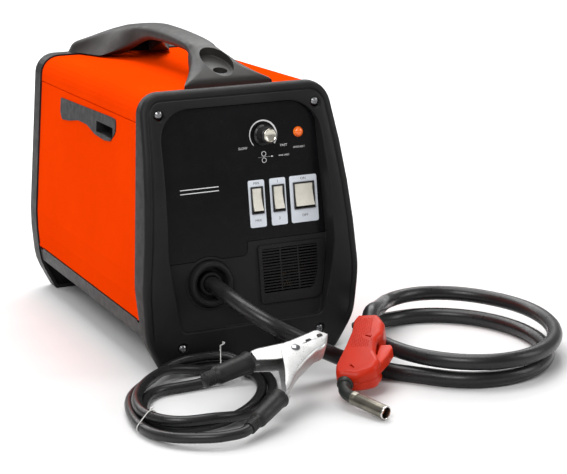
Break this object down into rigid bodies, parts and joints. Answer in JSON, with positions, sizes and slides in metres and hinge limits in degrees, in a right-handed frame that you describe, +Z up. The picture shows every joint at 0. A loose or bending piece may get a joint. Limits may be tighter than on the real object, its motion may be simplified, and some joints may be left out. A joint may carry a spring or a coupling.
{
  "type": "mig welding machine",
  "caption": "Portable wire welder: crowned black front with sloping controls, orange casing with a drop-down side door, top handle, torch on a thick coiled lead, earth clamp on a thinner one.",
  "frame": {"origin": "middle of the casing footprint, on the floor", "axes": "+X to the right of someone facing the controls, +Y from the control panel towards the rear, +Z up"},
  "size_m": [0.518, 0.6451, 0.3419],
  "materials": {
    "chassis_black": "black powder coat",
    "moulding_black": "fine moulded grain, satin",
    "fascia_black": "smooth glossy film",
    "casing_orange": "gloss orange enamel",
    "screw_steel": "zinc plated",
    "knob_black": "satin black",
    "cap_silver": "spun bright metal",
    "pot_metal": "plated can",
    "lamp_amber": "amber lens",
    "plate_white": "printed white plate",
    "rocker_ivory": "ivory moulding",
    "sheet_zinc": "galvanised sheet",
    "core_steel": "varnished laminations",
    "winding_copper": "enamelled copper",
    "winding_amber": "enamelled strip",
    "rectifier_alloy": "plain aluminium fins",
    "board_green": "solder resist",
    "valve_brass": "turned brass",
    "motor_grey": "grey enamel",
    "fan_black": "moulded black",
    "feeder_alloy": "die cast",
    "roll_steel": "ground steel",
    "arm_black": "black die casting",
    "tension_red": "red moulding",
    "wire_copper": "copper coated wire",
    "lead_rubber": "smooth rubber sheath",
    "torch_red": "orange red gloss",
    "neck_black": "insulated neck",
    "nozzle_steel": "plated, warm tint",
    "tip_copper": "copper",
    "tie_white": "white plastic",
    "clamp_steel": "bright zinc plate",
    "sleeve_rubber": "black dipped sleeve",
    "spring_steel": "spring steel"
  },
  "bodies": {
    "machine": {"base_tray": "chassis_black", "front_bezel": "moulding_black", "control_fascia": "fascia_black", "vent_grille": "moulding_black", "rear_frame": "moulding_black", "top_cover": "casing_orange", "carry_handle": "moulding_black", "case_screws": "screw_steel", "speed_pot": "pot_metal", "lamp_lens": "lamp_amber", "switch_plates": "plate_white", "switch_frames": "knob_black", "torch_socket": "knob_black", "earth_gland": "knob_black", "divider_plate": "sheet_zinc", "transformer_core": "core_steel", "primary_winding": "winding_copper", "secondary_winding": "winding_amber", "choke": "core_steel", "rectifier": "rectifier_alloy", "control_board": "board_green", "gas_valve": "valve_brass", "mains_gland": "knob_black", "fan_motor": "motor_grey", "feed_motor": "motor_grey", "feed_block": "feeder_alloy", "spool_spindle": "fan_black", "torch_cable": "lead_rubber", "torch_coil": "lead_rubber", "torch_shell_upper": "torch_red", "torch_shell_lower": "torch_red", "torch_neck": "neck_black", "gas_nozzle": "nozzle_steel", "contact_tip": "tip_copper", "trigger_switch": "neck_black", "earth_cable": "lead_rubber", "earth_coil": "lead_rubber", "cable_ties": "tie_white", "clamp_lower_arm": "clamp_steel", "clamp_lower_sleeve": "sleeve_rubber", "clamp_pivot": "clamp_steel", "clamp_spring": "spring_steel"},
    "door": {"side_door": "casing_orange", "door_grip": "moulding_black"},
    "knob": {"speed_knob": "knob_black", "knob_cap": "cap_silver"},
    "step_switch": {"step_rocker": "rocker_ivory"},
    "range_switch": {"range_rocker": "rocker_ivory"},
    "power_switch": {"power_rocker": "rocker_ivory"},
    "fan": {"fan_blades": "fan_black"},
    "drive": {"drive_roll": "roll_steel"},
    "pressure_arm": {"pressure_arm": "arm_black"},
    "pressure_roll": {"pressure_roll": "roll_steel"},
    "tension_knob": {"tension_knob": "tension_red"},
    "spool": {"wire_spool": "fan_black", "welding_wire": "wire_copper"},
    "trigger": {"torch_trigger": "torch_red"},
    "clamp_jaw": {"clamp_upper_arm": "clamp_steel", "clamp_upper_sleeve": "sleeve_rubber"}
  },
  "joints": [
    {"name": "door_hinge", "type": "hinge", "parent": "machine", "child": "door", "pos_m": [-0.1191, 0, 0.06], "axis": [0, -1, 0], "range_deg": [0, 95]},
    {"name": "speed_turn", "type": "hinge", "parent": "machine", "child": "knob", "pos_m": [0.0287, -0.17524, 0.2434], "axis": [0, -0.9934, 0.1149], "range_deg": [-135, 135]},
    {"name": "step_rock", "type": "hinge", "parent": "machine", "child": "step_switch", "pos_m": [0.0164, -0.18224, 0.17419], "axis": [1, 0, 0], "range_deg": [0, 20]},
    {"name": "range_rock", "type": "hinge", "parent": "machine", "child": "range_switch", "pos_m": [0.0415, -0.18224, 0.17419], "axis": [1, 0, 0], "range_deg": [0, 20]},
    {"name": "power_rock", "type": "hinge", "parent": "machine", "child": "power_switch", "pos_m": [0.072, -0.18224, 0.17419], "axis": [1, 0, 0], "range_deg": [0, 20]},
    {"name": "fan_spin", "type": "hinge", "parent": "machine", "child": "fan", "pos_m": [0.0515, 0.184, 0.15], "axis": [0, 1, 0], "continuous": true},
    {"name": "drive_spin", "type": "hinge", "parent": "machine", "child": "drive", "pos_m": [-0.044, -0.095, 0.0746], "axis": [1, 0, 0], "continuous": true},
    {"name": "arm_lift", "type": "hinge", "parent": "machine", "child": "pressure_arm", "pos_m": [-0.044, -0.128, 0.112], "axis": [1, 0, 0], "range_deg": [0, 50]},
    {"name": "press_spin", "type": "hinge", "parent": "pressure_arm", "child": "pressure_roll", "pos_m": [-0.044, -0.095, 0.1014], "axis": [1, 0, 0], "continuous": true},
    {"name": "tension_turn", "type": "hinge", "parent": "pressure_arm", "child": "tension_knob", "pos_m": [-0.042, -0.063, 0.125], "axis": [0, 0, 1], "continuous": true},
    {"name": "spool_spin", "type": "hinge", "parent": "machine", "child": "spool", "pos_m": [-0.0535, 0.085, 0.158], "axis": [1, 0, 0], "continuous": true},
    {"name": "trigger_pull", "type": "hinge", "parent": "machine", "child": "trigger", "pos_m": [0.06432, -0.35784, 0.0273], "axis": [-0.213, -0.1868, 0.959], "range_deg": [0, 9], "stiffness_Nm_per_rad": 0.2, "springref_deg": -5.73},
    {"name": "jaw_open", "type": "hinge", "parent": "machine", "child": "clamp_jaw", "pos_m": [-0.021, -0.353, 0.054], "axis": [0, -0.4939, 0.8695], "range_deg": [0, 18], "stiffness_Nm_per_rad": 1, "springref_deg": -17.19, "deforming": ["clamp_spring"]}
  ],
  "couplings": [
    {"joint": "press_spin", "follows": "drive_spin", "ratio": -1.3636}
  ]
}
